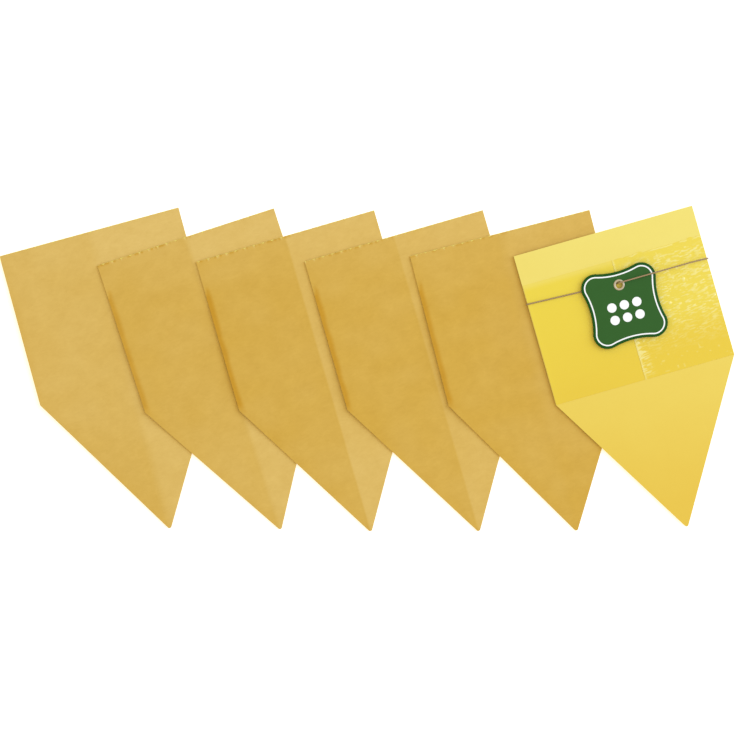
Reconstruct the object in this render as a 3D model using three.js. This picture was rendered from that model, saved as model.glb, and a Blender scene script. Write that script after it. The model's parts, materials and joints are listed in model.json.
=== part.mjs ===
// Six house-shaped sticky insect traps, fanned out on a table.
// Each trap is a card with a tacky coat across its middle. A centre crease lets the left half fold up.
// The five lower traps still carry their release paper. The top one is bare, and a string round it
// holds a tag.
import * as THREE from 'three';

// Driving dimensions, in millimetres.
const BOARD_WIDTH = 150;
const SIDE_LENGTH = 125;      // straight side, from the top edge to the shoulder
const TIP_LENGTH = 125;       // from the shoulders down to the point
const TIP_RADIUS = 1.7;
const CARD_THICKNESS = 0.4;
const GLUE_THICKNESS = 0.12;
const LINER_THICKNESS = 0.08;
const LAYER_GAP = 0.05;       // between card, glue and liner
const CREASE_GAP = 0.3;       // between the two halves
const GLUE_TOP = 25;          // bare band above the glue
const GLUE_INSET = 0.5;       // from the side edge
const LINER_BEND = 3;         // width of the liner's bend beside the crease, when its left half peels back
const STACK_CLEARANCE = 0.2;  // air between one trap and the next
const STRING_ROOM = 1.4;      // extra height of the top trap, which lies on its string
const STRING_DIAMETER = 1.2;
const STRING_AIR = 0.15;      // between the string and whatever it passes
const STRING_SIDES = 8;
const TAG_THICKNESS = 0.8;
const TAG_HEIGHT = 2.3;       // underside of the tag above the top trap's card
const TAG_LOBE_OFFSET = 19.2; // centre of each rounded lobe, from the tag's centre along both sides
const TAG_LOBE_RADIUS = 11.6;
const TAG_WAIST = 28.2;       // from the tag's centre to the middle of a side
const TAG_HOLE_ABOVE = 17.35; // from the tag's centre up to its hole
const TAG_TURN = -1.2;        // degrees, against the top trap
const EYELET_HOLE_RADIUS = 2.8;
const EYELET_BARREL_RADIUS = 3.2;
const EYELET_FLANGE_RADIUS = 4.5;
const EYELET_FLANGE_THICKNESS = 0.4;
const EYELET_PLAY = 0.1;      // between the eyelet and the tag

// Angles, in degrees.
const FAN_TURN = 16;          // how far the fan's traps lean, seen from above
const LEAF_LIFT = 0.6;        // the left half's rise from the crease at rest

// The middle of each trap's top edge, across and along the fan from the first one, and its own turn
// in degrees.
const FAN = [
  { across: 0, along: 0, turn: -0.7 },
  { across: 74, along: -25.5, turn: 2 },
  { across: 151.5, along: -47, turn: 0.2 },
  { across: 236, along: -71, turn: 0.1 },
  { across: 319, along: -92.5, turn: -1.5 },
  { across: 399.6, along: -113.9, turn: -0.1 },
];
const SMALLEST_STEP = FAN[1].across;

// Sizes that follow.
const HALF_WIDTH = BOARD_WIDTH / 2;
const LENGTH = SIDE_LENGTH + TIP_LENGTH;
const GLUE_LENGTH = SIDE_LENGTH - GLUE_TOP;
const GLUE_BOTTOM_FACE = LAYER_GAP;
const LINER_BOTTOM_FACE = GLUE_BOTTOM_FACE + GLUE_THICKNESS + LAYER_GAP;
const STACK_THICKNESS = CARD_THICKNESS + LINER_BOTTOM_FACE + LINER_THICKNESS;
const FAN_SLOPE = Math.atan((STACK_THICKNESS + STACK_CLEARANCE) / SMALLEST_STEP);
const TIP_HALF_ANGLE = Math.atan(HALF_WIDTH / TIP_LENGTH);
const TIP_ARC_CENTRE = -LENGTH + TIP_RADIUS / Math.sin(TIP_HALF_ANGLE);

const QUARTER_TURN = Math.PI / 2;
const radians = THREE.MathUtils.degToRad;

const cardYellow = { color: 0xf0d650, roughness: 0.55, metalness: 0 };
const glueYellow = { color: 0xefd44c, roughness: 0.12, metalness: 0 };
const linerBrown = { color: 0xdcae60, roughness: 0.5, metalness: 0 };
const stringBrown = { color: 0xa58c6e, roughness: 0.9, metalness: 0 };
const tagGreen = { color: 0x3c6734, roughness: 0.5, metalness: 0 };
const eyeletMetal = { color: 0xb4aa8c, roughness: 0.35, metalness: 1 };

function part(name, geometry, finish) {
  const mesh = new THREE.Mesh(geometry, new THREE.MeshStandardMaterial(finish));
  mesh.name = name;
  return mesh;
}

// A flat piece of the given outline, its underside at height `bottom`.
function plate(outline, thickness, bottom) {
  const settings = { depth: thickness, bevelEnabled: false, curveSegments: 12 };
  const geometry = new THREE.ExtrudeGeometry(outline, settings);
  geometry.translate(0, 0, bottom);
  return geometry;
}

// Mirrors an outline to the left of the crease for side -1 and leaves it on the right for side 1.
function onSide(side, outline) {
  return new THREE.Shape(outline.getPoints(8).map((p) => new THREE.Vector2(side * p.x, p.y)));
}

// One half of the house shape, from `inner` beside the crease out to the edge. The origin is the top
// of the crease.
function leafOutline(side, inner) {
  const tangentX = TIP_RADIUS * Math.cos(TIP_HALF_ANGLE);
  const outline = new THREE.Shape();
  outline.moveTo(inner, 0);
  outline.lineTo(HALF_WIDTH, 0);
  outline.lineTo(HALF_WIDTH, -SIDE_LENGTH);
  if (inner < tangentX) {
    const end = Math.asin(inner / TIP_RADIUS) - Math.PI / 2;
    outline.absarc(0, TIP_ARC_CENTRE, TIP_RADIUS, -TIP_HALF_ANGLE, end, true);
  } else {
    outline.lineTo(inner, inner / Math.tan(TIP_HALF_ANGLE) - LENGTH);
  }
  return onSide(side, outline);
}

// The tacky coat on one half.
function glueOutline(side) {
  const outline = new THREE.Shape();
  outline.moveTo(CREASE_GAP / 2, -GLUE_TOP);
  outline.lineTo(HALF_WIDTH - GLUE_INSET, -GLUE_TOP);
  outline.lineTo(HALF_WIDTH - GLUE_INSET, -GLUE_TOP - GLUE_LENGTH);
  outline.lineTo(CREASE_GAP / 2, -GLUE_TOP - GLUE_LENGTH);
  return onSide(side, outline);
}

// One half of a trap. Its origin is the top of the crease, on the card's front face.
function makeLeaf(number, side, covered) {
  const leaf = new THREE.Group();
  const end = `${number}_${side < 0 ? 'left' : 'right'}`;
  const card = plate(leafOutline(side, CREASE_GAP / 2), CARD_THICKNESS, -CARD_THICKNESS);
  leaf.add(part(`card_${end}`, card, cardYellow));
  leaf.add(part(`glue_${end}`, plate(glueOutline(side), GLUE_THICKNESS, GLUE_BOTTOM_FACE), glueYellow));
  if (covered) {
    const outline = leafOutline(side, side < 0 ? LINER_BEND : CREASE_GAP / 2);
    leaf.add(part(`liner_${end}`, plate(outline, LINER_THICKNESS, LINER_BOTTOM_FACE), linerBrown));
  }
  return leaf;
}

// A whole trap, with its origin at the middle of the top edge, on the card's front face.
function makeTrap(number, covered) {
  const trap = new THREE.Group();
  const left = makeLeaf(number, -1, covered);
  left.rotation.y = radians(LEAF_LIFT);
  trap.add(left, makeLeaf(number, 1, covered));
  return trap;
}

// A square with round lobes at its corners and hollow sides. Each side is an arc that runs on smoothly
// into the lobes.
function tagOutline() {
  const lobe = TAG_LOBE_OFFSET;
  const reach = TAG_WAIST - TAG_LOBE_RADIUS;
  const sideCentre = (2 * lobe * lobe - reach * reach) / (2 * (lobe - reach));
  const sideRadius = sideCentre - TAG_WAIST;
  const lean = Math.atan2(lobe, sideCentre - lobe);
  const outline = new THREE.Shape();
  for (let corner = 0; corner < 4; corner += 1) {
    const turn = corner * QUARTER_TURN;
    const [c, s] = [Math.cos(turn), Math.sin(turn)];
    const lobeX = lobe * (c - s);
    const lobeY = lobe * (s + c);
    outline.absarc(lobeX, lobeY, TAG_LOBE_RADIUS, turn - lean, turn + QUARTER_TURN + lean, false);
    const [sideX, sideY] = [-s * sideCentre, c * sideCentre];
    outline.absarc(sideX, sideY, sideRadius, turn + lean - QUARTER_TURN, turn - lean - QUARTER_TURN, true);
  }
  const hole = new THREE.Path();
  hole.absarc(0, TAG_HOLE_ABOVE, EYELET_BARREL_RADIUS + EYELET_PLAY, 0, 2 * Math.PI, false);
  outline.holes.push(hole);
  return outline;
}

// The eyelet's section: a barrel with a flange on each face of the tag. The origin is the hole's centre
// on the underside.
function eyeletGeometry() {
  const top = TAG_THICKNESS + EYELET_PLAY;
  const section = [
    [EYELET_HOLE_RADIUS, -EYELET_PLAY - EYELET_FLANGE_THICKNESS],
    [EYELET_FLANGE_RADIUS, -EYELET_PLAY - EYELET_FLANGE_THICKNESS],
    [EYELET_FLANGE_RADIUS, -EYELET_PLAY],
    [EYELET_BARREL_RADIUS, -EYELET_PLAY],
    [EYELET_BARREL_RADIUS, top],
    [EYELET_FLANGE_RADIUS, top],
    [EYELET_FLANGE_RADIUS, top + EYELET_FLANGE_THICKNESS],
    [EYELET_HOLE_RADIUS, top + EYELET_FLANGE_THICKNESS],
    [EYELET_HOLE_RADIUS, -EYELET_PLAY - EYELET_FLANGE_THICKNESS],
  ];
  const geometry = new THREE.LatheGeometry(section.map(([r, z]) => new THREE.Vector2(r, z)), 40);
  geometry.rotateX(Math.PI / 2);
  return geometry;
}

// The tag with its eyelet. The origin is the hole's centre on the tag's underside.
function makeTag() {
  const tag = new THREE.Group();
  const board = plate(tagOutline(), TAG_THICKNESS, 0);
  board.translate(0, -TAG_HOLE_ABOVE, 0);
  tag.add(part('tag', board, tagGreen), part('eyelet', eyeletGeometry(), eyeletMetal));
  return tag;
}

// A curve read at its own stations, so that tight bends keep their points.
class StringRoute extends THREE.CatmullRomCurve3 {
  getPointAt(t) {
    return this.getPoint(t);
  }

  getTangentAt(t) {
    return this.getTangent(t);
  }
}

// Where the string crosses the top trap's edges and goes up through the eyelet, in the trap's own frame.
const STRING_LEFT_ALONG = -40.35;
const STRING_RIGHT_ALONG = -44.4;
const HOLE = { across: 0.55, along: -45.5 };
const HOLE_PASS = 1.6;        // the string goes up this far above the middle of the hole
const LEVEL_OVER_TAG = 34;    // how far right of the crease the string stays level over the tag
const KNOT = { across: 12, length: 4, width: 2.4, thickness: 1.5 };

// The string runs from the knot behind the card to the left edge, over the front, under the tag, up
// through the eyelet, over the tag to the right edge, and back behind the card to the knot.
function stringRoute() {
  const radius = STRING_DIAMETER / 2;
  const lift = Math.tan(radians(LEAF_LIFT));
  const back = -CARD_THICKNESS - STRING_AIR - radius;
  const front = GLUE_BOTTOM_FACE + GLUE_THICKNESS + STRING_AIR + radius;
  const tagTop = TAG_HEIGHT + TAG_THICKNESS + EYELET_PLAY + EYELET_FLANGE_THICKNESS;
  const over = tagTop + STRING_AIR + radius;
  const edge = HALF_WIDTH + STRING_AIR + radius;
  const bend = (front - back) / 2;
  const middle = (front + back) / 2;
  const span = STRING_RIGHT_ALONG - STRING_LEFT_ALONG;
  const raised = (across) => Math.max(0, -across * lift);
  const points = [];
  const add = (across, along, height) => {
    points.push(new THREE.Vector3(across, along, height + raised(across)));
  };

  // Behind the card the string is straight from edge to edge.
  const backAlong = (across) => STRING_LEFT_ALONG + span * (across + edge) / (2 * edge);
  const addBack = (across) => add(across, backAlong(across), back);
  // Half a turn round a side edge, from the back to the front on the left and the other way on the right.
  const turnSteps = 6;
  const addTurn = (side, along) => {
    for (let i = 0; i <= turnSteps; i += 1) {
      const angle = Math.PI * i / turnSteps;
      add(side * (edge - bend + bend * Math.sin(angle)), along, middle + side * bend * Math.cos(angle));
    }
  };

  const knotEnd = KNOT.length / 2 + CREASE_GAP;
  [KNOT.across - knotEnd, 4, 0, -4, -20, -38, -56, -edge + bend + 2].forEach(addBack);
  addTurn(-1, STRING_LEFT_ALONG);
  const holeAlong = HOLE.along + HOLE_PASS;
  const slope = (holeAlong - STRING_LEFT_ALONG) / (HOLE.across + edge);
  const frontAlong = (across) => STRING_LEFT_ALONG + slope * (across + edge);
  [-60, -45, -30, -15, -5].forEach((across) => add(across, frontAlong(across), front));
  // Up through the eyelet in an S: across from the middle of the hole, and height.
  [[-1.6, front + 0.05], [-0.5, front + 0.5], [0, (front + over) / 2], [0.5, over - 0.5], [1.6, over]]
    .forEach(([across, height]) => add(HOLE.across + across, holeAlong, height));
  [8, 16, 24, 30].forEach((across) => add(across, holeAlong, over));
  const fall = (over - front) / (edge - bend - LEVEL_OVER_TAG);
  [38, 50, 62].forEach((across) => add(across, holeAlong, over - fall * (across - LEVEL_OVER_TAG)));
  addTurn(1, STRING_RIGHT_ALONG);
  [60, 45, 30, KNOT.across + knotEnd].forEach(addBack);
  return { route: new StringRoute(points), count: points.length, back, backAlong };
}

function circleShape(radius, sides) {
  const corners = Array.from({ length: sides }, (_, i) => {
    const angle = 2 * Math.PI * i / sides;
    return new THREE.Vector2(radius * Math.cos(angle), radius * Math.sin(angle));
  });
  return new THREE.Shape(corners);
}

function makeString() {
  const loop = new THREE.Group();
  const { route, count, back, backAlong } = stringRoute();
  const tube = new THREE.ExtrudeGeometry(circleShape(STRING_DIAMETER / 2, STRING_SIDES), {
    steps: (count - 1) * 2,
    extrudePath: route,
  });
  loop.add(part('string', tube, stringBrown));
  const knot = part('string_knot', new THREE.SphereGeometry(0.5, 16, 10), stringBrown);
  knot.scale.set(KNOT.length, KNOT.width, KNOT.thickness);
  knot.position.set(KNOT.across, backAlong(KNOT.across), back);
  loop.add(knot);
  return loop;
}

const fan = new THREE.Group();
FAN.forEach((place, index) => {
  const top = index === FAN.length - 1;
  const trap = makeTrap(index + 1, !top);
  const height = place.across * Math.tan(FAN_SLOPE) + (top ? STRING_ROOM : 0);
  trap.position.set(place.across, place.along, height);
  trap.rotation.z = radians(place.turn);
  if (top) {
    const tag = makeTag();
    tag.position.set(HOLE.across, HOLE.along, TAG_HEIGHT);
    tag.rotation.z = radians(TAG_TURN);
    trap.add(makeString(), tag);
  }
  fan.add(trap);
});
fan.rotation.set(0, FAN_SLOPE, radians(FAN_TURN), 'ZYX');

// The finished model stands on z = 0 with the middle of its outline over the origin.
const model = new THREE.Group();
model.add(fan);
model.updateMatrixWorld(true);
const box = new THREE.Box3().setFromObject(model, true);
const centre = box.getCenter(new THREE.Vector3());
fan.position.set(-centre.x, -centre.y, -box.min.z);

export default model;
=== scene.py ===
import json
import math

import bpy
import numpy as np
from bpy.props import FloatProperty, FloatVectorProperty, IntProperty, PointerProperty
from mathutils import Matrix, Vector


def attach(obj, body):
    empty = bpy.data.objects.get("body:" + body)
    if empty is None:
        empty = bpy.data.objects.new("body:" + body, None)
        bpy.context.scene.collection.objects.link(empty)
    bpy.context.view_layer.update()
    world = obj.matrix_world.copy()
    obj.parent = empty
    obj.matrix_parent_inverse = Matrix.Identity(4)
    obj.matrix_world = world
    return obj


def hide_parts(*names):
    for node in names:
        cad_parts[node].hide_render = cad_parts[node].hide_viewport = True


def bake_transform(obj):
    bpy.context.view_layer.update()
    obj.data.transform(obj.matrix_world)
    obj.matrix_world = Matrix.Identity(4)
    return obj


bl_info = {
    "name": "Sticky insect trap fan",
    "version": (1, 0, 0),
    "blender": (4, 5, 0),
    "location": "3D View > Sidebar > Insect traps",
    "description": "Six house-shaped sticky traps fanned out, with release papers, a string and a tag",
    "category": "Object",
}

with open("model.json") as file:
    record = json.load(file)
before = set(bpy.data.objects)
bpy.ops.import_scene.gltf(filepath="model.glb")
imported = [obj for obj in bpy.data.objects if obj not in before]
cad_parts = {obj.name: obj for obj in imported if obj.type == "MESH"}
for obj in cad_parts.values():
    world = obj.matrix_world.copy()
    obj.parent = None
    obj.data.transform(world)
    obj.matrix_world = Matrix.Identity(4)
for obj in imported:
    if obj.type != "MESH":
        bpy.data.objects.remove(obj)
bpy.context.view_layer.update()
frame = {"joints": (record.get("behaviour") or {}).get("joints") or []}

MM = 0.001
WHITE = (1.0, 1.0, 1.0)
COVERED_TRAPS = (1, 2, 3, 4, 5)
BARE_TRAP = 6
SMOOTH_SWELL = 0.03 * MM      # how uneven the coat is under a release paper
NICK_SHIFT = 0.31             # how far the perforation shifts from one trap to the next, in nicks
CARD_COLUMNS = 121            # points across a card
PAPER_COLUMNS = 151           # points across half a release paper
FLOOR_LEVEL = -0.1 * MM

# How light each release paper is, from 0 for its darkest tan to 1 for its palest: the two halves of its body and the
# two halves of its point. These tones are painted light: the right halves are paler by a painted sheen of the light
# from the right, and the left halves of the upper traps darker by painted shade where they lie over the trap below.
# Then how soft the change at the crease is in millimetres, how deep its left margin is, and how much its perforated
# top edge shows.
TONE_NAMES = ("left", "right", "tip_left", "tip_right", "crease", "margin", "torn")
PAPER_TONES = {
    1: (0.62, 0.92, 0.40, 0.80, 5.0, 0.06, 0.0),
    2: (0.28, 0.76, 0.50, 0.86, 3.0, 0.75, 1.0),
    3: (0.16, 0.62, 0.28, 0.80, 1.2, 1.00, 0.9),
    4: (0.13, 0.46, 0.22, 0.62, 1.2, 1.00, 0.8),
    5: (0.08, 0.28, 0.18, 0.06, 6.0, 1.00, 0.7),
}


def srgb(red, green, blue):
    """A colour given as 0 to 255 on a screen, as the linear colour that a shader takes."""
    screen = np.array([red, green, blue]) / 255.0
    linear = np.where(screen <= 0.04045, screen / 12.92, ((screen + 0.055) / 1.055) ** 2.4)
    return tuple(float(x) for x in linear)


def number_prop(name, default, description, **settings):
    return FloatProperty(name=name, description=description, default=default, **settings)


def length_prop(name, default, description):
    return number_prop(name, default, description, min=0.0, unit="LENGTH", precision=5)


def tint_prop(name, default, description):
    return FloatVectorProperty(name=name, description=description, default=default, size=3, min=0.0, subtype="COLOR")


def colour_prop(name, screen_colour, description):
    return tint_prop(name, srgb(*screen_colour), description)


class TrapSizes(bpy.types.PropertyGroup):
    """Sizes of the card, its tacky coat and its release paper."""

    board_width: length_prop("Board width", 0.150, "Width of a trap between its straight sides")
    side_length: length_prop("Side length", 0.125, "Straight side, from the top edge to the shoulder")
    tip_length: length_prop("Point length", 0.125, "From the shoulders down to where the slanted edges would meet")
    tip_radius: length_prop("Point radius", 0.0017, "Rounding of the point")
    card: length_prop("Card thickness", 0.0004, "Thickness of the card")
    gap: length_prop("Layer gap", 0.00005, "Air between card, coat and paper")
    coat: length_prop("Coat thickness", 0.00012, "Thickness of the tacky coat")
    paper: length_prop("Paper thickness", 0.00008, "Thickness of the release paper")
    coat_top: length_prop("Bare band", 0.025, "Bare card above the tacky coat")
    coat_inset: length_prop("Coat inset", 0.0005, "From the side edge to the tacky coat")
    paper_seam: length_prop("Paper seam", 0.0015, "From the crease to the seam between the release paper's halves")
    seam_gap: length_prop("Seam gap", 0.00002, "Between the two halves of the release paper")
    lift: number_prop("Leaf rise", math.radians(0.2), "How far the left half rises from the crease", unit="ROTATION")
    curl: length_prop("Edge curl", 0.00069, "How far the left edge of the lowest trap curls up beside its coat")
    curl_step: length_prop("Curl step", 0.00004, "How much further each trap curls than the one below it")
    droop: length_prop("Bare trap's droop", 0.0006, "How far the bare trap's left shoulder hangs below its string")
    nick_pitch: length_prop("Nick pitch", 0.0077, "Spacing of the perforation nicks along the paper's top edge")
    nick_depth: length_prop("Nick depth", 0.0007, "Depth of a perforation nick")
    ripple: length_prop("Ripple height", 0.00011, "Height of the ripples pulled up in the bare coat")


class TrapColours(bpy.types.PropertyGroup):
    """Colours of every finish."""

    # The paper's tone between these two carries painted light: a painted sheen on the right halves and painted shade
    # over the trap below.
    paper_dark: colour_prop("Paper, dark", (211, 169, 66), "Release paper where it is darkest")
    paper_light: colour_prop("Paper, light", (225, 191, 108), "Release paper where it is palest")
    paper_margin: colour_prop("Paper margin", (201, 150, 36), "Release paper along the left edge")
    paper_torn: colour_prop("Paper, torn", (240, 217, 148), "Torn bits between the perforations")
    card_deep: colour_prop("Card, deep", (232, 195, 66), "Card at its point")
    card_middle: colour_prop("Card, middle", (236, 208, 86), "Card below the coat")
    card_light: colour_prop("Card, light", (241, 223, 113), "Card along its top band")
    coat_deep: colour_prop("Coat, deep", (234, 202, 60), "Tacky coat at its lower end")
    coat_light: colour_prop("Coat, light", (238, 214, 66), "Tacky coat at its upper end")
    # Painted highlight: the pale colour that the coat's highlight tone mixes in on its ripples, ridges and specks.
    coat_painted_highlight: colour_prop("Coat, shine", (246, 234, 150), "Raised ripples of the tacky coat")
    string_light: colour_prop("String, light", (182, 156, 118), "Raised fibres of the string")
    # Painted shade: the colour the string takes in the hollows between its plies.
    string_hollow_shade: colour_prop("String, dark", (138, 112, 76), "Hollows of the string")
    tag_green: colour_prop("Tag green", (48, 95, 38), "Field of the tag")
    tag_border: colour_prop("Tag border", (22, 80, 20), "Border of the tag")
    print_white: colour_prop("Print white", (253, 254, 252), "White line and dots on the tag")
    eyelet: colour_prop("Eyelet", (200, 188, 158), "Metal of the eyelet")
    floor: colour_prop("Floor", (253, 253, 253), "Floor")


class TagSizes(bpy.types.PropertyGroup):
    """Sizes of the tag, its eyelet and the string."""

    thickness: length_prop("Tag thickness", 0.0008, "Thickness of the tag's board")
    height: length_prop("Tag height", 0.0023, "Underside of the tag above the top trap's card")
    lobe_offset: length_prop("Lobe offset", 0.0192, "From the tag's centre to a lobe's centre, along both sides")
    lobe_radius: length_prop("Lobe radius", 0.0116, "Radius of a rounded lobe")
    waist: length_prop("Waist", 0.0282, "From the tag's centre to the middle of a side")
    hole_above: length_prop("Hole height", 0.01735, "From the tag's centre up to its hole")
    hole_radius: length_prop("Hole radius", 0.0033, "Radius of the hole in the board")
    border: length_prop("Border", 0.0022, "Width of the dark border")
    line: length_prop("Line width", 0.0011, "Width of the white line inside the border")
    print_height: length_prop("Print height", 0.00004, "How far the white print stands up")
    dot_radius: length_prop("Dot radius", 0.0038, "Radius of one of the six dots")
    dot_pitch: length_prop("Dot pitch", 0.0104, "Spacing of the dots")
    eyelet_hole: length_prop("Eyelet hole", 0.0028, "Radius of the eyelet's hole")
    eyelet_barrel: length_prop("Eyelet barrel", 0.0032, "Radius of the eyelet's barrel")
    eyelet_flange: length_prop("Eyelet flange", 0.0045, "Radius of the eyelet's rolled flange")
    eyelet_roll: length_prop("Eyelet roll", 0.0004, "Height of the rolled flange")
    eyelet_play: length_prop("Eyelet play", 0.0001, "Between the eyelet and the tag")
    string: length_prop("String diameter", 0.0012, "Diameter of the string")
    string_lay: length_prop("String lay", 0.0042, "Length of string in which its plies turn once")
    string_sides: IntProperty(name="String sides", description="Points round the string", default=14, min=6)


class StageSettings(bpy.types.PropertyGroup):
    """Floor, lights and camera."""

    floor_size: length_prop("Floor size", 12.0, "Side of the square floor")
    floor_glow: number_prop("Floor glow", 0.4, "Light from under the floor", min=0.0)
    sky: number_prop("Sky strength", 0.77, "Even light from all round", min=0.0)
    sky_tint: tint_prop("Sky tint", (1.05, 0.975, 0.78), "Slightly warm, against the cool key")
    key_power: number_prop("Key power", 58.0, "Large soft light from the right", min=0.0, unit="POWER")
    key_tint: tint_prop("Key tint", (0.44, 0.615, 1.127), "Cool, which leaves its shadows warm")
    key_size: length_prop("Key size", 2.0, "Side of the square key light")
    key_height: number_prop("Key height", math.radians(29.0), "Angle of the key over the floor", unit="ROTATION")
    gloss_power: number_prop("Gloss power", 7.0, "Small light that the wet coat mirrors", min=0.0, unit="POWER")
    gloss_size: length_prop("Gloss light size", 0.5, "Side of the square gloss light")
    gloss_height: number_prop("Gloss height", math.radians(66.0), "Angle of the gloss light over the floor",
                              unit="ROTATION")
    light_turn: number_prop("Light turn", math.radians(20.0), "Angle of both lights round from +X", unit="ROTATION")
    light_distance: length_prop("Light distance", 3.0, "From the origin to both lights")
    lens: number_prop("Lens", 363.0, "Camera lens", min=1.0, unit="CAMERA")
    camera_height: length_prop("Camera height", 6.003, "Height of the camera over the floor")
    centre_x: number_prop("View centre X", 0.00087, "Middle of the view", unit="LENGTH")
    centre_y: number_prop("View centre Y", 0.00028, "Middle of the view", unit="LENGTH")


# ---- Frames of the traps, taken from the joints ----

def joint(name):
    """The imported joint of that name."""
    return next(j for j in frame["joints"] if j["name"] == name)


def unit(vector):
    return np.array(vector, float) / np.linalg.norm(vector)


def trap_place(number):
    """A trap's origin, at the top of its crease on the card's front face, and its axes: across to the right, along
    the crease towards the top edge, and out of the front face. The fan's own normal is square to every crease."""
    outward = unit(np.cross(joint("trap_2_slide")["axis"], joint("leaf_1_fold")["axis"]))
    if number == BARE_TRAP:
        along = unit(joint("string_slide")["axis"])
        across = np.cross(along, outward)
        tag = bpy.context.scene.tag_sizes
        hole = np.array(joint("tag_swing")["pos_m"])
        origin = hole - STRING_HOLE[0] * across - STRING_HOLE[1] * along - tag.height * outward
    else:
        along = unit(joint(f"leaf_{number}_fold")["axis"])
        across = np.cross(along, outward)
        origin = np.array(joint(f"leaf_{number}_fold")["pos_m"])
    return origin, across, along, outward


def to_world(place, u, v, w):
    """Points at distances u across, v along and w out from a trap's origin."""
    origin, across, along, outward = place
    u, v, w = np.broadcast_arrays(u, v, w)
    return origin + u[..., None] * across + v[..., None] * along + w[..., None] * outward


# ---- Meshes from grids ----

def shell_faces(rows, cols):
    """Faces of a closed thin piece: an upper grid, the same grid reversed below it, and a wall round the rim."""
    count = rows * cols
    index = np.arange(count).reshape(rows, cols)
    upper = np.stack([index[:-1, :-1], index[1:, :-1], index[1:, 1:], index[:-1, 1:]], -1).reshape(-1, 4)
    rim = np.concatenate([index[:-1, 0], index[-1, :-1], index[:0:-1, -1], index[0, :0:-1]])
    after = np.roll(rim, -1)
    wall = np.stack([rim + count, after + count, after, rim], -1)
    return np.concatenate([upper, upper[:, ::-1] + count, wall]).tolist()


def ring_faces(rings, sides, closed):
    """Faces of a skin over rings of points: one ring after the next, each ring closed on itself. When the row of
    rings is closed too, the last joins the first; otherwise both ends get a flat cap."""
    index = np.arange(rings * sides).reshape(rings, sides)
    following = np.roll(index, -1, axis=0) if closed else index[1:]
    start = index if closed else index[:-1]
    quads = np.stack([start, np.roll(start, -1, 1), np.roll(following, -1, 1), following], -1).reshape(-1, 4).tolist()
    if closed:
        return quads
    return quads + [index[0, ::-1].tolist(), index[-1].tolist()]


def add_piece(name, points, faces, material, place=None, tone=None, sharp=40.0):
    """Makes one piece: points in metres, faces as rows of point numbers, the material, and for each point its place
    on the surface and its tone."""
    mesh = bpy.data.meshes.new(name)
    mesh.from_pydata(points.reshape(-1, 3).tolist(), [], faces)
    if place is not None:
        attribute = mesh.attributes.new("place", "FLOAT_VECTOR", "POINT")
        attribute.data.foreach_set("vector", place.astype(np.float32).ravel())
    if tone is not None:
        attribute = mesh.attributes.new("tone", "FLOAT_COLOR", "POINT")
        colour = np.ones((len(mesh.vertices), 4), np.float32)
        colour[:, :3] = tone.reshape(-1, 3)
        attribute.data.foreach_set("color", colour.ravel())
    mesh.polygons.foreach_set("use_smooth", np.ones(len(mesh.polygons), bool))
    mesh.set_sharp_from_angle(angle=math.radians(sharp))
    mesh.materials.append(material)
    mesh.validate()
    piece = bpy.data.objects.new(name, mesh)
    bpy.context.scene.collection.objects.link(piece)
    return piece


def ease(x):
    """0 below 0, 1 above 1, and a smooth S between."""
    x = np.clip(x, 0.0, 1.0)
    return x * x * (3.0 - 2.0 * x)


def step(x, start, width):
    """A smooth rise from 0 to 1 that begins at the start and takes the width, both in millimetres."""
    return ease((x - start * MM) / (width * MM))


def noise(x, y, seed):
    """Smooth noise from 0 to 1: random heights on a square lattice, eased from each lattice point to the next."""
    size = 64
    heights = np.random.default_rng(seed).random((size, size))
    x, y = np.broadcast_arrays(x, y)
    x0, y0 = np.floor(x).astype(int), np.floor(y).astype(int)
    fx, fy = ease(x - x0), ease(y - y0)
    corner = [[heights[(x0 + i) % size, (y0 + j) % size] for j in (0, 1)] for i in (0, 1)]
    low = corner[0][0] * (1 - fx) + corner[1][0] * fx
    high = corner[0][1] * (1 - fx) + corner[1][1] * fx
    return low * (1 - fy) + high * fy


def grain(u, width, v, length, seed):
    """Noise on a lattice of that width and length in millimetres."""
    return noise(u / (width * MM), v / (length * MM), seed)


def bump_at(x, centre, width):
    """A bell of height 1 at the centre, falling off over the width."""
    return np.exp(-(((x - centre) / width) ** 2))


# ---- The trap's shape ----

def leaf_height(u, v, number):
    """Rise of a trap's surface at u across and v along. The left half rises from the crease in a straight slope that
    starts softly. Beside the coat its outer part also curls up, as the square of the distance from where it starts.
    The bare trap doesn't curl: it lies on its string, and its left shoulder droops in a smooth step below that."""
    sizes = bpy.context.scene.trap_sizes
    softness = 1.0 * MM
    rise = math.tan(sizes.lift) * 0.5 * (np.sqrt(u * u + softness * softness) - u)
    if number == BARE_TRAP:
        return rise - sizes.droop * step(-u, 10, 60) * step(-v, 100, 28)
    start, reach = 30 * MM, 45 * MM
    outer = np.clip((-u - start) / reach, 0.0, None) ** 2
    beside_coat = step(-v, 20, 55) * (1.0 - step(-v, 125, 70))
    amount = sizes.curl + (number - 1) * sizes.curl_step
    return rise + amount * outer * beside_coat


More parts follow.
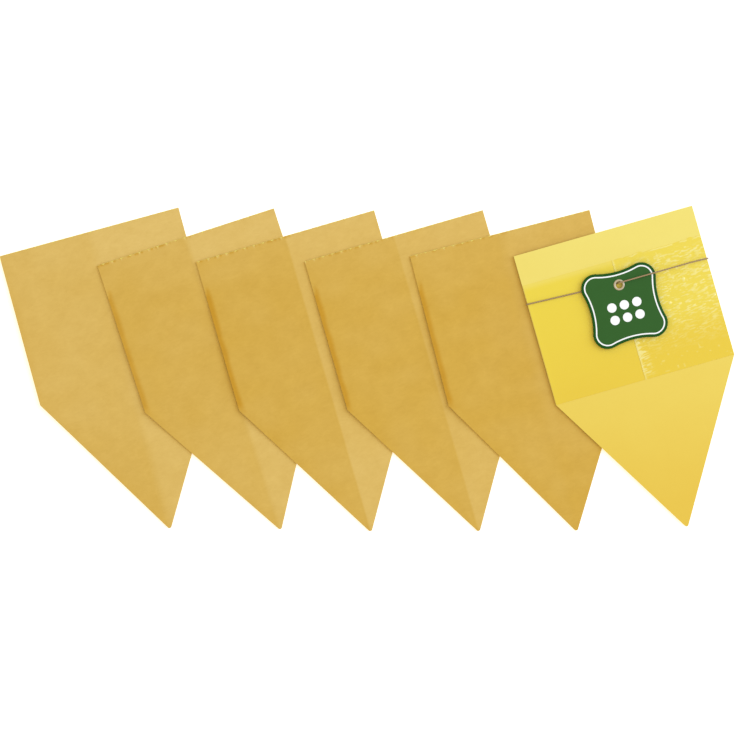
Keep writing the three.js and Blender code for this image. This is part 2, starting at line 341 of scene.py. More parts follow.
def house_rows():
    """Distances along the crease for a house-shaped sheet's rows, closer together at the top edge and the point, and
    each row's share of the top edge's shape and of the point's rounding."""
    sizes = bpy.context.scene.trap_sizes
    half_angle = math.atan(0.5 * sizes.board_width / sizes.tip_length)
    length = sizes.side_length + sizes.tip_length
    arc_centre = -length + sizes.tip_radius / math.sin(half_angle)
    last = arc_centre - sizes.tip_radius * math.sin(half_angle)
    top = -np.array([0.0, 0.7, 1.5, 2.6, 4.0]) * MM
    body = np.linspace(-7 * MM, -sizes.side_length, 27)
    point = np.linspace(-sizes.side_length, last + 6 * MM, 25)[1:]
    end = last + np.array([4.2, 2.6, 1.2, 0.0]) * MM
    v = np.concatenate([top, body, point, end])
    top_share = 1.0 - step(-v, 0, 5)
    tip_share = np.clip((last + 4.2 * MM - v) / (4.2 * MM), 0.0, 1.0)
    return v, top_share, tip_share, arc_centre, last, half_angle


def nick_distance(u, number):
    """How far across each point lies from the nearest perforation nick."""
    pitch = bpy.context.scene.trap_sizes.nick_pitch
    return (np.mod(u / pitch + NICK_SHIFT * number, 1.0) - 0.5) * pitch


def house_sheet(number, left, right, bottom, thickness, columns, nicked):
    """A house-shaped sheet on a trap, from `left` to `right` across, where None is the outline itself and anything
    else is a seam, which draws in to the middle of its half near the point. Each row runs straight from side to side;
    the outline is straight down to the shoulder and narrows in a line to the point, which the last row rounds with an
    arc. The sheet follows the trap's rise. Returns points, u, v and faces."""
    sizes = bpy.context.scene.trap_sizes
    rows, top_share, tip_share, arc_centre, last, half_angle = house_rows()
    half = 0.5 * sizes.board_width
    below = np.clip(-rows - sizes.side_length, 0.0, None)
    outline = half * (1.0 - below / sizes.tip_length)
    from_left = -outline if left is None else np.maximum(left, -0.5 * outline)
    to_right = outline if right is None else np.maximum(right, -0.5 * outline - sizes.seam_gap)
    share = np.linspace(0.0, 1.0, columns)
    u = from_left[:, None] * (1 - share) + to_right[:, None] * share
    reach = sizes.tip_radius * math.cos(half_angle)
    arc = arc_centre - np.sqrt(sizes.tip_radius ** 2 - np.clip(u, -reach, reach) ** 2) - last
    v = rows[:, None] + arc * tip_share[:, None]
    if nicked:
        nick = np.exp(-((nick_distance(u, number) / (0.85 * MM)) ** 4))
        ragged = 0.10 * MM + 0.22 * MM * noise(u / (0.9 * MM), 3.0 + number, 11)
        v = v - (ragged + sizes.nick_depth * nick) * top_share[:, None]
    height = leaf_height(u, v, number) + bottom
    place = trap_place(number)
    lower = to_world(place, u, v, height)
    upper = to_world(place, u, v, height + thickness)
    return np.stack([upper, lower]), u, v, shell_faces(*u.shape)


def surface_place(u, v, number):
    """Where each point lies on its trap, twice over for the upper and lower grid, with the traps set well apart so
    that no two have the same pattern."""
    apart = 0.4
    one = np.stack([u + apart * number, v, np.zeros_like(u)], -1).reshape(-1, 3)
    return np.concatenate([one, one])


def both_sides(*channels):
    """Tone channels for the upper and lower grid."""
    one = np.stack(np.broadcast_arrays(*channels), -1).reshape(-1, 3)
    return np.concatenate([one, one])


def paper_tone(u, v, number):
    """Tone of the release paper, carrying painted light: paler right of the crease, a painted sheen, and darker left
    of it, most where it lies over the trap below, painted shade; changing down the point; darker near its left and
    lower-left edges, painted shade where the sheet curves; darker along its left margin beside the coat; and faint
    clouds. The second channel is the margin. The third is the torn top edge: above a half for the pale torn bits, one
    at each nick, and below it for the darker bits between, partly ragged fibres and partly a painted shadow under the
    lifted edge."""
    tones = dict(zip(TONE_NAMES, PAPER_TONES[number]))
    sizes = bpy.context.scene.trap_sizes
    half = 0.5 * sizes.board_width
    down = step(-v - sizes.side_length, 5, 80)
    # Painted light: the right half's paler tone is a painted sheen, and the left half's darker tone is painted shade.
    left = tones["left"] * (1 - down) + tones["tip_left"] * down
    right = tones["right"] * (1 - down) + tones["tip_right"] * down
    light = left + (right - left) * ease(0.5 + u / (2 * tones["crease"] * MM))
    clouds = noise(u / (19 * MM) + 7 * number, v / (14 * MM), 21) - 0.5
    light = light + 0.16 * clouds + 0.16 * (1 - step(-v, 0, 45))
    # Painted shade: darker within about 9 mm of the left side and the lower-left slanted edge, where the sheet
    # curves.
    edge = u + half * np.clip(1 - np.clip(-v - sizes.side_length, 0, None) / sizes.tip_length, 0, 1)
    light = light - 0.14 * np.exp(-edge / (9 * MM))
    beside_coat = step(-v - sizes.coat_top + edge * 0.8, 0, 3) * step(sizes.side_length + v, -1, 2)
    wavy = 1.2 * MM * (noise(v / (11 * MM), 2.0 * number, 31) - 0.5)
    margin = tones["margin"] * beside_coat * (1 - step(edge + wavy, 1.6, 4.2))
    near_top = np.exp(-((v + 0.5 * MM) / (1.2 * MM)) ** 2)
    bits = bump_at(nick_distance(u, number), 0.0, 0.8 * MM) * ease(2.2 * noise(u / (5 * MM), 3.0 * number, 42) - 0.5)
    # Partly painted shadow: the darker bits between the nicks stand for ragged fibres and for the shade under the
    # lifted edge.
    fibres = 0.85 * ease(2.4 * noise(u / (1.7 * MM), 5.0 * number, 41) - 0.9) * (1 - bits)
    ragged = 0.5 + 0.5 * near_top * (0.65 * bits - fibres) * tones["torn"] * (1 - 0.85 * step(u, 0, 10))
    return both_sides(np.clip(light, 0, 1), np.clip(margin, 0, 1), np.clip(ragged, 0, 1))


def card_tone(u, v):
    """Tone of the card: pale along the top band, mid yellow below the coat and deeper down to the point."""
    down = -v
    light = np.interp(down, np.array([0, 25, 40, 125, 150, 175, 225, 250]) * MM,
                      [0.96, 0.93, 0.70, 0.52, 0.44, 0.30, 0.04, 0.0])
    light = light + 0.05 * u / (75 * MM) + 0.05 * (grain(u, 17, v, 12, 51) - 0.5)
    return both_sides(np.clip(light, 0, 1), 0.0 * u, 0.0 * u)


def coat_grid(side, columns, rows):
    """The tacky coat on one half, as a grid over its rectangle from the crease out to the side."""
    sizes = bpy.context.scene.trap_sizes
    inner = 0.15 * MM
    outer = 0.5 * sizes.board_width - sizes.coat_inset
    across = np.linspace(inner, outer, columns)
    if side < 0:
        across = -across[::-1]
    along = np.linspace(-sizes.coat_top, -sizes.side_length, rows)
    return np.meshgrid(across, along)


def ripples(u, v):
    """Ripples pulled up in the bare coat's right half when its paper came off. Ridges run across, where noise
    stretched across passes a threshold, thickest in the upper outer part; in the lower part they stay beside the
    crease, with a few specks elsewhere. A straight ridge follows the crease. Returns the height and a painted
    highlight that pales the coat's colour on the ridges, the specks and the crease line."""
    bend = 4.0 * MM * (grain(u, 23, v, 19, 61) - 0.5) - 0.13 * u
    coarse = grain(u, 6.0, v + bend, 1.5, 62)
    fine = noise(u / (2.6 * MM) + 9, (v + bend) / (0.85 * MM), 63)
    patches = ease(2.0 * grain(u, 11, v, 7, 64) + 0.05)
    upper = step(u, 2, 14) * step(-v, 26, 8) * step(v, -116, 42)
    reach = 8 * MM + 9 * MM * step(v, -95, 7)
    lower = np.exp(-(u / reach) ** 4) * step(-v, 82, 5) * step(v, -125, 5)
    strength = np.maximum((0.3 + 0.45 * patches) * upper, lower)
    ridges = 0.5 * ease((coarse - 0.46) / 0.20) * (0.4 + 0.6 * fine) + 0.85 * ease((fine - 0.50) / 0.20)
    specks = ease((grain(u, 2.6, v, 2.2, 68) - 0.86) / 0.08)
    crease_strength = 0.35 + 0.65 * step(-v, 80, 8) + 0.65 * step(v, -40, 3)
    crease = bump_at(u, 0.9 * MM, 0.7 * MM) * crease_strength * (0.6 + 0.4 * noise(v / (2.3 * MM), 4.7, 67))
    height = 0.12 + strength * ridges + 0.5 * specks + 0.7 * crease
    painted_shine = strength * ridges ** 1.5 + 0.35 * specks + 0.85 * crease
    return np.clip(height, 0, 1.2), np.clip(painted_shine, 0, 1)


def make_coat(number, side, columns, rows, material):
    """One half's tacky coat, with its edges falling to the card."""
    sizes = bpy.context.scene.trap_sizes
    u, v = coat_grid(side, columns, rows)
    bare = number == BARE_TRAP
    torn = bare and side > 0
    if torn:
        wander = noise(u / (5.5 * MM), 3.3, 65) - 0.5 + 0.5 * (noise(u / (1.9 * MM), 5.1, 69) - 0.5)
        v = v + 1.9 * MM * wander * (1 - step(-v - sizes.coat_top, 0, 6))
    down = (-v - sizes.coat_top) / (sizes.side_length - sizes.coat_top)
    light = 1.0 - down + 0.10 * (grain(u, 21, v, 17, 71 + number) - 0.5)
    swell = 0.25 * grain(u, 9, v, 6, 72 + number)
    painted_shine = 0.0 * u
    rough = 0.15 + 0.0 * u
    if torn:
        # Painted highlight: on the rippled half the coat is paled on its ripples, along the torn top border's ridge
        # and faintly over its upper part.
        swell, painted_shine = ripples(u, v)
        border = bump_at(v, v[:1] - 0.8 * MM, 0.6 * MM) * ease(2.4 * noise(u / (6 * MM), 8.1, 66) - 0.8)
        swell, painted_shine = swell + 0.8 * border, np.maximum(painted_shine, 0.9 * border)
        light = 1.0 - 0.9 * ease((down - 0.45) / 0.35)
        painted_shine = np.maximum(painted_shine, 0.10 * (1 - ease((down - 0.5) / 0.3)))
        rough = np.clip(0.3 + painted_shine, 0, 1)
    elif bare:
        light = light + 0.25 * np.exp(-(u + 0.5 * sizes.board_width) / (3 * MM))
        # Painted highlight: a pale band along the top of the bare left coat.
        painted_shine = 0.30 * (1 - step(-v - sizes.coat_top, 0, 6))
    bottom = leaf_height(u, v, number) + sizes.gap
    top = bottom + sizes.coat + (sizes.ripple if bare else SMOOTH_SWELL) * swell
    place = trap_place(number)
    points = np.stack([to_world(place, u, v, top), to_world(place, u, v, bottom)])
    half = f"{number}_left" if side < 0 else f"{number}_right"
    piece = add_piece(f"coat_{half}", points, shell_faces(*u.shape), material,
                      surface_place(u, v, number), both_sides(np.clip(light, 0, 1), painted_shine, rough))
    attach(piece, f"leaf_{number}" if side < 0 and not bare else f"trap_{number}")
    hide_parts(f"glue_{half}")


def blend_across(piece):
    """Bakes the piece's placement into its points."""
    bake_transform(piece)


def make_card(number, material):
    """A trap's card as one sheet, creased at rest."""
    sizes = bpy.context.scene.trap_sizes
    points, u, v, faces = house_sheet(number, None, None, -sizes.card, sizes.card, CARD_COLUMNS, False)
    piece = add_piece(f"card_{number}", points, faces, material,
                      surface_place(u, v, number), card_tone(u, v))
    if number == BARE_TRAP:
        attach(piece, f"trap_{number}")
    else:
        blend_across(piece)
    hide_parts(f"card_{number}_left", f"card_{number}_right")


def make_paper(number, side, material):
    """One half of a trap's release paper. The right half runs over the crease; the left half starts at a seam beside
    it."""
    sizes = bpy.context.scene.trap_sizes
    bottom = 2 * sizes.gap + sizes.coat
    seam = -sizes.paper_seam
    edges = (None, seam - sizes.seam_gap) if side < 0 else (seam, None)
    points, u, v, faces = house_sheet(number, *edges, bottom, sizes.paper, PAPER_COLUMNS, True)
    end = "left" if side < 0 else "right"
    piece = add_piece(f"paper_{number}_{end}", points, faces, material,
                      surface_place(u, v, number), paper_tone(u, v, number))
    if side > 0:
        blend_across(piece)
    else:
        blend_across(piece)
    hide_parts(f"liner_{number}_{end}")


# ---- String and tag ----

# The route, in metres, as the CAD has it: where the string crosses the top trap's side edges, where it goes up
# through the eyelet and how far above its middle, where its knot lies behind the card, the air left round it, and how
# far right of the crease it stays level over the tag.
STRING_LEFT = -0.04035
STRING_RIGHT = -0.0444
STRING_HOLE = (0.00055, -0.0455)
STRING_PASS = 0.0016
KNOT_ACROSS = 0.012
KNOT_SIZE = (0.004, 0.0024, 0.0015)
STRING_AIR = 0.00015
LEVEL_OVER_TAG = 0.034

# How far the tag hangs askew from its trap, and where the middle of its dots is above its own.
TAG_TURN = math.radians(-1.2)
DOTS_ABOVE = -0.0045


def string_levels():
    """Heights of the string's centreline behind the card, in front of the coat and over the tag's eyelet, and how far
    from the crease it passes round the side edges."""
    sizes, tag = bpy.context.scene.trap_sizes, bpy.context.scene.tag_sizes
    radius = 0.5 * tag.string
    back = -sizes.card - STRING_AIR - radius
    front = sizes.gap + sizes.coat + STRING_AIR + radius
    over = tag.height + tag.thickness + tag.eyelet_play + tag.eyelet_roll + STRING_AIR + radius
    edge = 0.5 * sizes.board_width + STRING_AIR + radius
    return back, front, over, edge


def back_along(across, edge):
    """How far along the trap the string lies behind the card: a straight line from edge to edge."""
    return STRING_LEFT + (STRING_RIGHT - STRING_LEFT) * (across + edge) / (2 * edge)


def stretch(u, v, w):
    """Points of one stretch of the string, in the top trap's frame. Any of the three may be a single number."""
    return np.stack(np.broadcast_arrays(u, v, w), -1)


def string_points():
    """Points on the string's centreline, from the knot round the left edge, over the front, up through the eyelet,
    round the right edge and back to the knot."""
    back, front, over, edge = string_levels()
    turn, middle = 0.5 * (front - back), 0.5 * (front + back)
    knot_end = 0.5 * KNOT_SIZE[0] + 0.3 * MM
    angles = np.linspace(0.0, math.pi, 7)
    hole_u, hole_v = STRING_HOLE[0], STRING_HOLE[1] + STRING_PASS
    behind = np.array([4, 0, -4, -20, -38, -56]) * MM
    first = np.concatenate([[KNOT_ACROSS - knot_end], behind, [-edge + turn + 2 * MM]])
    under = np.array([-60, -45, -30, -15, -5]) * MM
    slope = (hole_v - STRING_LEFT) / (hole_u + edge)
    step_u = hole_u + np.array([-1.6, -0.5, 0.0, 0.5, 1.6]) * MM
    step_w = np.array([front + 0.05 * MM, front + 0.5 * MM, 0.5 * (front + over), over - 0.5 * MM, over])
    falling = np.array([38, 50, 62]) * MM
    fall = (over - front) / (edge - turn - LEVEL_OVER_TAG)
    last = np.append(np.array([60, 45, 30]) * MM, KNOT_ACROSS + knot_end)
    points = np.concatenate([
        stretch(first, back_along(first, edge), back),
        stretch(-edge + turn - turn * np.sin(angles), STRING_LEFT, middle - turn * np.cos(angles)),
        stretch(under, STRING_LEFT + slope * (under + edge), front),
        stretch(step_u, hole_v, step_w),
        stretch(np.array([8, 16, 24, 30]) * MM, hole_v, over),
        stretch(falling, hole_v, over - fall * (falling - LEVEL_OVER_TAG)),
        stretch(edge - turn + turn * np.sin(angles), STRING_RIGHT, middle + turn * np.cos(angles)),
        stretch(last, back_along(last, edge), back),
    ])
    points[:, 2] += np.clip(-points[:, 0], 0, None) * math.tan(bpy.context.scene.trap_sizes.lift)
    return points


def smooth_line(points, spacing):
    """A smooth line through the points, resampled at an even spacing: cubic pieces whose slope at each point is the
    mean of the slopes either side of it, weighted by the square roots of the gaps."""
    gap = np.sqrt(np.linalg.norm(np.diff(points, axis=0), axis=1))
    slope = np.diff(points, axis=0) / gap[:, None]
    inner = (slope[:-1] * gap[1:, None] + slope[1:] * gap[:-1, None]) / (gap[:-1] + gap[1:])[:, None]
    slopes = np.concatenate([slope[:1], inner, slope[-1:]])
    t = np.linspace(0.0, 1.0, 24, endpoint=False)[None, :, None]
    a, b = points[:-1, None], points[1:, None]
    h = gap[:, None, None]
    line = ((1 + 2 * t) * (1 - t) ** 2 * a + t * (1 - t) ** 2 * h * slopes[:-1, None]
            + t * t * (3 - 2 * t) * b + t * t * (t - 1) * h * slopes[1:, None]).reshape(-1, 3)
    line = np.concatenate([line, points[-1:]])
    along = np.concatenate([[0.0], np.cumsum(np.linalg.norm(np.diff(line, axis=0), axis=1))])
    stations = np.linspace(0.0, along[-1], max(8, int(along[-1] / spacing)))
    return np.stack([np.interp(stations, along, line[:, i]) for i in range(3)], -1), stations


def twisted_cord(name, points, spacing, radius, lay, sides, side_hint, material):
    """A piece of string carried along a smooth line through points on the top trap. Its section has two plies, so the
    radius swells twice round, and the section turns once in each length of lay. The ends are drawn in to a rounded
    stub. It rides on the string's own body."""
    line, stations = smooth_line(points, spacing)
    line = to_world(trap_place(BARE_TRAP), *line.T)
    tangent = np.gradient(line, axis=0)
    tangent /= np.linalg.norm(tangent, axis=1)[:, None]
    side = side_hint - (tangent @ side_hint)[:, None] * tangent
    side /= np.linalg.norm(side, axis=1)[:, None]
    up = np.cross(tangent, side)
    angle = np.linspace(0.0, 2 * math.pi, sides, endpoint=False)[None, :]
    turned = angle - 2 * math.pi * stations[:, None] / lay
    fibres = 0.03 * (noise(stations[:, None] / (0.8 * MM), angle * 2.2, 81) - 0.5)
    from_end = np.minimum(stations, stations[-1] - stations)[:, None] / radius
    stub = np.sqrt(np.clip(1 - (1 - np.clip(from_end, 0, 1)) ** 2, 0.04, 1))
    swell = radius * (0.84 + 0.16 * np.abs(np.cos(turned)) ** 0.8 + fibres) * stub
    ring = swell[..., None] * (np.cos(angle)[..., None] * side[:, None] + np.sin(angle)[..., None] * up[:, None])
    points = line[:, None] + ring
    hollow = np.abs(np.cos(turned))
    place = np.stack([np.broadcast_to(stations[:, None], hollow.shape), turned * 0.1 * MM, 0 * hollow], -1)
    # The tone is 1 on the crests of the plies and 0 in the hollows, where the material paints shade.
    tone = np.stack([hollow, 0 * hollow, 0 * hollow], -1)
    faces = ring_faces(len(line), sides, False)
    piece = add_piece(name, points, faces, material, place.reshape(-1, 3), tone)
    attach(piece, "string_loop")
    return piece


def knot_points(centre):
    """The centreline of an overhand knot: a trefoil, flattened to lie behind the card."""
    t = np.linspace(0.15, 2 * math.pi - 0.15, 160)
    reach = [0.5 * size - 0.4 * MM for size in KNOT_SIZE]
    u = (2 + np.cos(3 * t)) * np.cos(2 * t) / 3 * (reach[0] + 0.3 * MM)
    v = (2 + np.cos(3 * t)) * np.sin(2 * t) / 3 * (reach[1] + 0.3 * MM)
    return stretch(u, v, np.sin(3 * t) * reach[2]) + centre


def make_string(material):
    """The string, its knot and the knot's two short ends."""
    tag = bpy.context.scene.tag_sizes
    _, across, along, outward = trap_place(BARE_TRAP)
    radius, lay = 0.5 * tag.string, tag.string_lay
    piece = twisted_cord("string", string_points(), 0.35 * MM, radius, lay, tag.string_sides, along, material)
    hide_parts("string")
    back, _, _, edge = string_levels()
    centre = np.array([KNOT_ACROSS, back_along(KNOT_ACROSS, edge), back])
    knot = twisted_cord("string_knot_turns", knot_points(centre), 0.2 * MM, 0.38 * MM, 0.7 * lay, 12,
                        unit(0.2 * across + outward), material)
    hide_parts("string_knot")
    for number, (du, dv) in enumerate([(6.5 * MM, 3.2 * MM), (-6.0 * MM, 3.8 * MM)], start=1):
        t = np.linspace(0.0, 1.0, 8)[:, None]
        tail = centre + t * np.array([du, dv, 0.0]) + np.sin(math.pi * t) * np.array([0.0, -0.8 * MM, 0.0])
        twisted_cord(f"string_end_{number}", tail, 0.3 * MM, radius * 0.92, lay, 12, along, material)


def tag_outline():
    """The tag's outline and the outward direction at each of its points: four round lobes joined by hollow arcs that
    meet them smoothly. Across and along from the tag's centre."""
    tag = bpy.context.scene.tag_sizes
    lobe, reach = tag.lobe_offset, tag.waist - tag.lobe_radius
    side_centre = (2 * lobe * lobe - reach * reach) / (2 * (lobe - reach))
    side_radius = side_centre - tag.waist
    lean = math.atan2(lobe, side_centre - lobe)
    points, normals = [], []
    for corner in range(4):
        turn = corner * math.pi / 2
        c, s = math.cos(turn), math.sin(turn)
        angle = np.linspace(turn - lean, turn + math.pi / 2 + lean, 27)[:-1]
        ray = np.stack([np.cos(angle), np.sin(angle)], -1)
        points.append(np.array([lobe * (c - s), lobe * (s + c)]) + tag.lobe_radius * ray)
        normals.append(ray)
        angle = np.linspace(turn + lean - math.pi / 2, turn - lean - math.pi / 2, 19)[:-1]
        ray = np.stack([np.cos(angle), np.sin(angle)], -1)
        points.append(np.array([-s * side_centre, c * side_centre]) + side_radius * ray)
        normals.append(-ray)
    return np.concatenate(points), np.concatenate(normals)


def tag_place():
    """The frame of the tag: its centre on the underside, and its axes, turned a little against the trap's."""
    tag = bpy.context.scene.tag_sizes
    _, across, along, outward = trap_place(BARE_TRAP)
    right = math.cos(TAG_TURN) * across + math.sin(TAG_TURN) * along
    up = -math.sin(TAG_TURN) * across + math.cos(TAG_TURN) * along
    return np.array(joint("tag_swing")["pos_m"]) - tag.hole_above * up, right, up, outward


def add_to_tag(name, flat, heights, faces, material, tone=None, sharp=40.0):
    """Makes a piece that rides on the tag, from points across and along from the tag's centre and their heights over
    its underside."""
    points = to_world(tag_place(), flat[..., 0], flat[..., 1], heights)
    where = np.concatenate([flat, heights[..., None]], -1).reshape(-1, 3)
    piece = add_piece(name, points, faces, material, where, tone, sharp)
    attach(piece, "tag")
    return piece


def inside_out(faces):
    """The same faces turned over."""
    return [face[::-1] for face in faces]


def make_board(material):
    """The tag's board: a closed section carried round the outline, with rounded edges. Its inner rings shrink to the
    hole. The tone is 1 on the dark border and 0.6 on the back."""
    tag = bpy.context.scene.tag_sizes
    outline, normals = tag_outline()
    hole = np.array([0.0, tag.hole_above])
    ray = outline - hole
    ray /= np.linalg.norm(ray, axis=1)[:, None]
    rim = hole + tag.hole_radius * ray
    top, soft = tag.thickness, 0.2 * MM
    inset = tag.border + 0.5 * tag.line
    field = outline - inset * normals
    rings = [(rim * share + field * (1 - share), top, 0.0) for share in (1.0, 0.9, 0.7, 0.45, 0.2, 0.0)]
    rings += [(outline - inward * normals, height, tone) for inward, height, tone in (
        (tag.border + 0.02 * MM, top, 0.0), (tag.border - 0.02 * MM, top, 1.0), (soft, top, 1.0),
        (0.3 * soft, top - 0.3 * soft, 1.0), (0.0, top - soft, 1.0), (0.0, soft, 1.0),
        (0.3 * soft, 0.3 * soft, 1.0), (soft, 0.0, 1.0), (inset, 0.0, 0.6),
    )]
    rings += [(rim * share + field * (1 - share), 0.0, 0.6) for share in (0.5, 1.0)]
    flat, height, dark = (np.array(column) for column in zip(*rings))
    height, dark = (column[:, None] * np.ones(flat.shape[:2]) for column in (height, dark))
    tone = stretch(dark, 0.0, 0.0).reshape(-1, 3)
    faces = inside_out(ring_faces(len(rings), len(outline), True))
    piece = add_to_tag("tag_board", flat, height, faces, material, tone=tone, sharp=50.0)
    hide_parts("tag")


def make_print(material):
    """The tag's print, standing up a little from its face: a line inside the border, and six dots in two rows."""
    tag = bpy.context.scene.tag_sizes
    outline, normals = tag_outline()
    low, high = tag.thickness - 0.02 * MM, tag.thickness + tag.print_height
    edges = [(tag.border, low), (tag.border, high), (tag.border + tag.line, high), (tag.border + tag.line, low)]
    flat = np.array([outline - inward * normals for inward, _ in edges])
    height = np.array([z for _, z in edges])[:, None] * np.ones(flat.shape[:2])
    add_to_tag("tag_line", flat, height, ring_faces(len(edges), len(outline), True), material)

    sides = 36
    angle = np.linspace(0, 2 * math.pi, sides, endpoint=False)
    radius, height = np.array([(0.02, high), (0.6, high), (1.0, high - 0.01 * MM), (1.0, low)]).T[..., None]
    disc = stretch(radius * tag.dot_radius * np.cos(angle), radius * tag.dot_radius * np.sin(angle), height)
    disc = disc.reshape(-1, 3)
    own_faces = inside_out(ring_faces(len(radius), sides, False))
    dots, faces = [], []
    for row in (-0.5, 0.5):
        for column in (-1, 0, 1):
            faces += [[len(dots) * len(disc) + i for i in face] for face in own_faces]
            dots.append(disc + np.array([column * tag.dot_pitch, row * tag.dot_pitch + DOTS_ABOVE, 0.0]))
    dots = np.concatenate(dots)
    add_to_tag("tag_dots", dots[:, :2], dots[:, 2], faces, material)


def make_eyelet(material):
    """The eyelet: a closed section turned round the hole, with a flange rolled over in half an ellipse on each face
    of the tag and a straight barrel between."""
    tag = bpy.context.scene.tag_sizes
    top, play = tag.thickness + tag.eyelet_play, tag.eyelet_play
    middle = 0.5 * (tag.eyelet_hole + tag.eyelet_flange)
    half = 0.5 * (tag.eyelet_flange - tag.eyelet_hole)
    roll = np.linspace(0.0, math.pi, 13)
    upper = np.stack([middle - half * np.cos(roll), top + tag.eyelet_roll * (0.15 + 0.85 * np.sin(roll))], -1)
    lower = np.stack([middle + half * np.cos(roll), -play - tag.eyelet_roll * (0.15 + 0.85 * np.sin(roll))], -1)
    barrel = np.array([[tag.eyelet_flange - 0.1 * MM, top], [tag.eyelet_barrel, top], [tag.eyelet_barrel, -play],
                       [tag.eyelet_flange - 0.1 * MM, -play]])
    section = np.concatenate([upper, barrel, lower])
    sides = 56
    angle = np.linspace(0, 2 * math.pi, sides, endpoint=False)
    radius, height = section[:, :1], section[:, 1:] * np.ones(sides)
    flat = np.stack([radius * np.cos(angle), radius * np.sin(angle) + tag.hole_above], -1)
    faces = inside_out(ring_faces(len(section), sides, True))
    piece = add_to_tag("eyelet_ring", flat, height, faces, material, sharp=50.0)
    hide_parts("eyelet")


# ---- Materials ----

def node(tree, kind, links=None, values=None, **settings):
    """A node of that kind, with its settings, its socket values, and links into its sockets."""
    made = tree.nodes.new(kind)
    for key, value in settings.items():
        setattr(made, key, value)
    for key, value in (values or {}).items():
        made.inputs[key].default_value = value
    for key, source in (links or {}).items():
        tree.links.new(source, made.inputs[key])
    return made


def rgba(colour):
    return (*colour, 1.0)


def fed(tree, sockets, given):
    """Gives each socket its value: another socket, which is linked to it, or a plain number or colour."""
    for socket, source in zip(sockets, given):
        if isinstance(source, bpy.types.NodeSocket):
            tree.links.new(source, socket)
        else:
            socket.default_value = source


def mixed(tree, factor, a, b, blend="MIX"):
    """A colour mix."""
    mix = node(tree, "ShaderNodeMix", data_type="RGBA", blend_type=blend)
    fed(tree, (mix.inputs[0], mix.inputs[6], mix.inputs[7]), (factor, a, b))
    return mix.outputs[2]


def maths(tree, operation, *given):
    """A number worked out from two or three others."""
    made = node(tree, "ShaderNodeMath", operation=operation)
    fed(tree, made.inputs, given)
    return made.outputs[0]


def speckle(tree, place, scale, detail, **values):
    """Noise at that scale, in waves to the metre."""
    values = {"Scale": scale, "Detail": detail, **{key.capitalize(): value for key, value in values.items()}}
    return node(tree, "ShaderNodeTexNoise", {"Vector": place}, values).outputs["Fac"]


def squeezed(tree, place, *scale):
    """The place, scaled by a different number each way, which draws a pattern out along the smallest."""
    return node(tree, "ShaderNodeMapping", {"Vector": place}, {"Scale": scale}).outputs[0]


def fibre_group():
    """Paper fibre, for every board and paper: clouds, short lying fibres and a fine tooth. Takes the place on the
    surface, the strength and the size, and gives a shade to multiply the colour by and a height."""
    name = "paper_fibre"
    if name in bpy.data.node_groups:
        return bpy.data.node_groups[name]
    tree = bpy.data.node_groups.new(name, "ShaderNodeTree")
    for label, kind in (("Place", "Vector"), ("Strength", "Float"), ("Size", "Float")):
        tree.interface.new_socket(name=label, in_out="INPUT", socket_type=f"NodeSocket{kind}")
    for label, kind in (("Shade", "Color"), ("Height", "Float")):
        tree.interface.new_socket(name=label, in_out="OUTPUT", socket_type=f"NodeSocket{kind}")
    enter, leave = tree.nodes.new("NodeGroupInput"), tree.nodes.new("NodeGroupOutput")
    scaled = node(tree, "ShaderNodeVectorMath", {0: enter.outputs["Place"], "Scale": enter.outputs["Size"]},
                  operation="SCALE").outputs[0]
    clouds = speckle(tree, scaled, 85.0, 4.0, roughness=0.6)
    fibres = speckle(tree, squeezed(tree, scaled, 0.5, 1.0, 1.0), 330.0, 4.0, roughness=0.6, distortion=1.2)
    tooth = speckle(tree, scaled, 2600.0, 2.0)
    both = maths(tree, "MULTIPLY_ADD", fibres, 0.40, maths(tree, "MULTIPLY", clouds, 0.45))
    whole = maths(tree, "MULTIPLY_ADD", tooth, 0.15, both)
    swing = maths(tree, "MULTIPLY", maths(tree, "SUBTRACT", whole, 0.5), enter.outputs["Strength"])
    warm = node(tree, "ShaderNodeCombineColor", {
        channel: maths(tree, "MULTIPLY_ADD", swing, share, 1.0)
        for channel, share in (("Red", 0.75), ("Green", 1.0), ("Blue", 1.9))
    })
    height = maths(tree, "MULTIPLY_ADD", tooth, 0.5, fibres)
    fed(tree, (leave.inputs["Shade"], leave.inputs["Height"]), (warm.outputs[0], height))
    return tree


def new_material(name, roughness, specular):
    """A material, its tree, its shader with a plain gloss, and the piece's own place and tone attributes."""
    material = bpy.data.materials.new(name)
    material.use_nodes = True
    tree = material.node_tree
    shader = tree.nodes["Principled BSDF"]
    fed(tree, (shader.inputs["Roughness"], shader.inputs["Specular IOR Level"]), (roughness, specular))
    place = node(tree, "ShaderNodeAttribute", attribute_name="place").outputs["Vector"]
    tone = node(tree, "ShaderNodeAttribute", attribute_name="tone").outputs["Color"]
    return material, tree, shader, place, node(tree, "ShaderNodeSeparateColor", {0: tone}).outputs


def bumped(tree, shader, height, distance, strength):
    made = node(tree, "ShaderNodeBump", {"Height": height}, {"Distance": distance, "Strength": strength})
    tree.links.new(made.outputs[0], shader.inputs["Normal"])


def with_fibres(tree, shader, place, colour, strength, size, distance=0.0, bump=0.0):
    """Colours the surface, shaded by its fibres, which also stand up where a distance is given."""
    values = {"Strength": strength, "Size": size}
    group = node(tree, "ShaderNodeGroup", {"Place": place}, values, node_tree=fibre_group())
    shaded = mixed(tree, 1.0, colour, group.outputs["Shade"], "MULTIPLY")
    tree.links.new(shaded, shader.inputs["Base Color"])
    if distance > 0:
        bumped(tree, shader, group.outputs["Height"], distance, bump)


